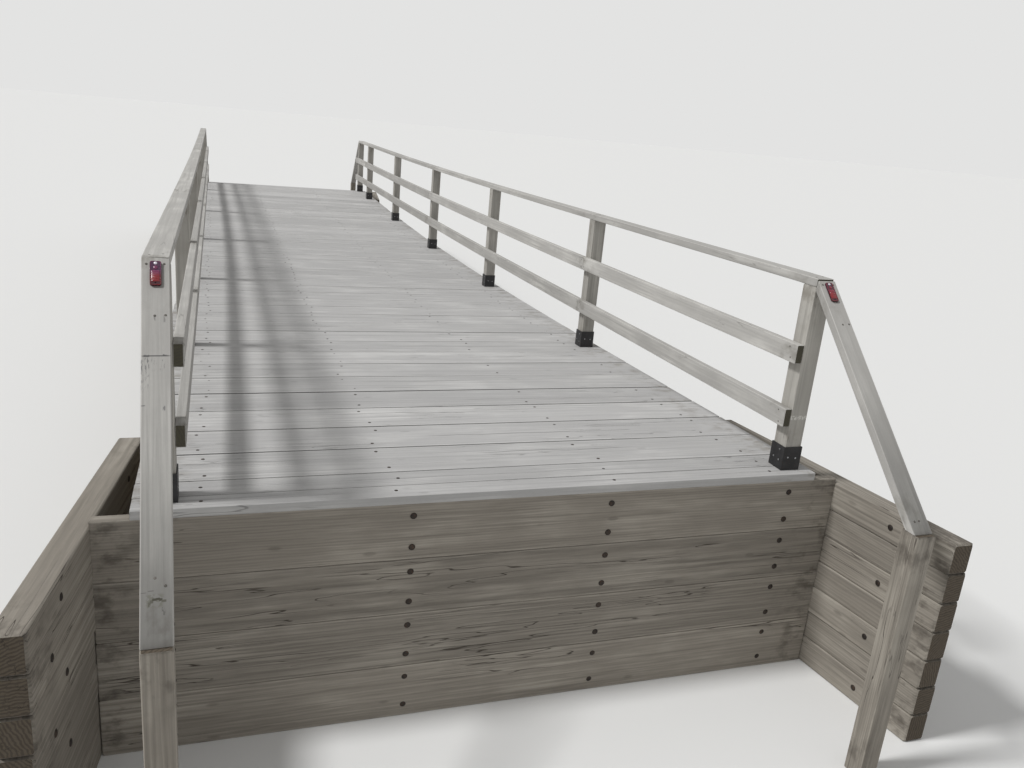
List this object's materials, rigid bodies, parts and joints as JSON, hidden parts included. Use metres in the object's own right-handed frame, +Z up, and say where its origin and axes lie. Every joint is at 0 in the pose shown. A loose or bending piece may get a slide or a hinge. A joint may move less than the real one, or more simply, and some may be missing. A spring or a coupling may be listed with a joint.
{
  "type": "wooden footbridge",
  "caption": "Straight timber beam bridge with a deck of cross boards, post and board railings with sloping end braces, and timber abutments.",
  "frame": {"origin": "centre of the footprint, on the level the abutments and stakes stand on", "axes": "+Y along the bridge from the near end to the far end with the short bay, +X to the right, +Z up"},
  "size_m": [3.63, 15.2414, 1.96],
  "materials": {
    "deck_boards": "weathered light grey stain on sawn boards",
    "railing_boards": "weathered warm grey stain",
    "beam_timber": "bare laminated timber gone brown",
    "bank_timber": "rough bare timber, weathered brown",
    "post_base_steel": "black powder coat",
    "reflector_plastic": "moulded red reflector"
  },
  "bodies": {
    "root": {"deck_bay_1": "deck_boards", "deck_bay_2": "deck_boards", "deck_bay_3": "deck_boards", "deck_bay_4": "deck_boards", "deck_bay_5": "deck_boards", "deck_bay_6": "deck_boards", "main_beam_1": "beam_timber", "main_beam_2": "beam_timber", "main_beam_3": "beam_timber", "main_beam_4": "beam_timber", "beam_blocking": "beam_timber", "near_bearing_wall": "bank_timber", "far_bearing_wall": "bank_timber", "near_headwall": "bank_timber", "far_headwall": "bank_timber", "wing_wall_near_left": "bank_timber", "wing_wall_near_right": "bank_timber", "wing_wall_far_left": "bank_timber", "wing_wall_far_right": "bank_timber", "brace_stakes": "bank_timber", "left_posts": "railing_boards", "right_posts": "railing_boards", "left_post_bases": "post_base_steel", "right_post_bases": "post_base_steel", "left_cap_rail": "railing_boards", "right_cap_rail": "railing_boards", "left_mid_rail": "railing_boards", "right_mid_rail": "railing_boards", "left_low_rail": "railing_boards", "right_low_rail": "railing_boards", "end_brace_near_left": "railing_boards", "end_brace_near_right": "railing_boards", "end_brace_far_left": "railing_boards", "end_brace_far_right": "railing_boards", "reflector_near_left": "reflector_plastic", "reflector_near_right": "reflector_plastic", "reflector_far_left": "reflector_plastic", "reflector_far_right": "reflector_plastic"}
  },
  "joints": []
}
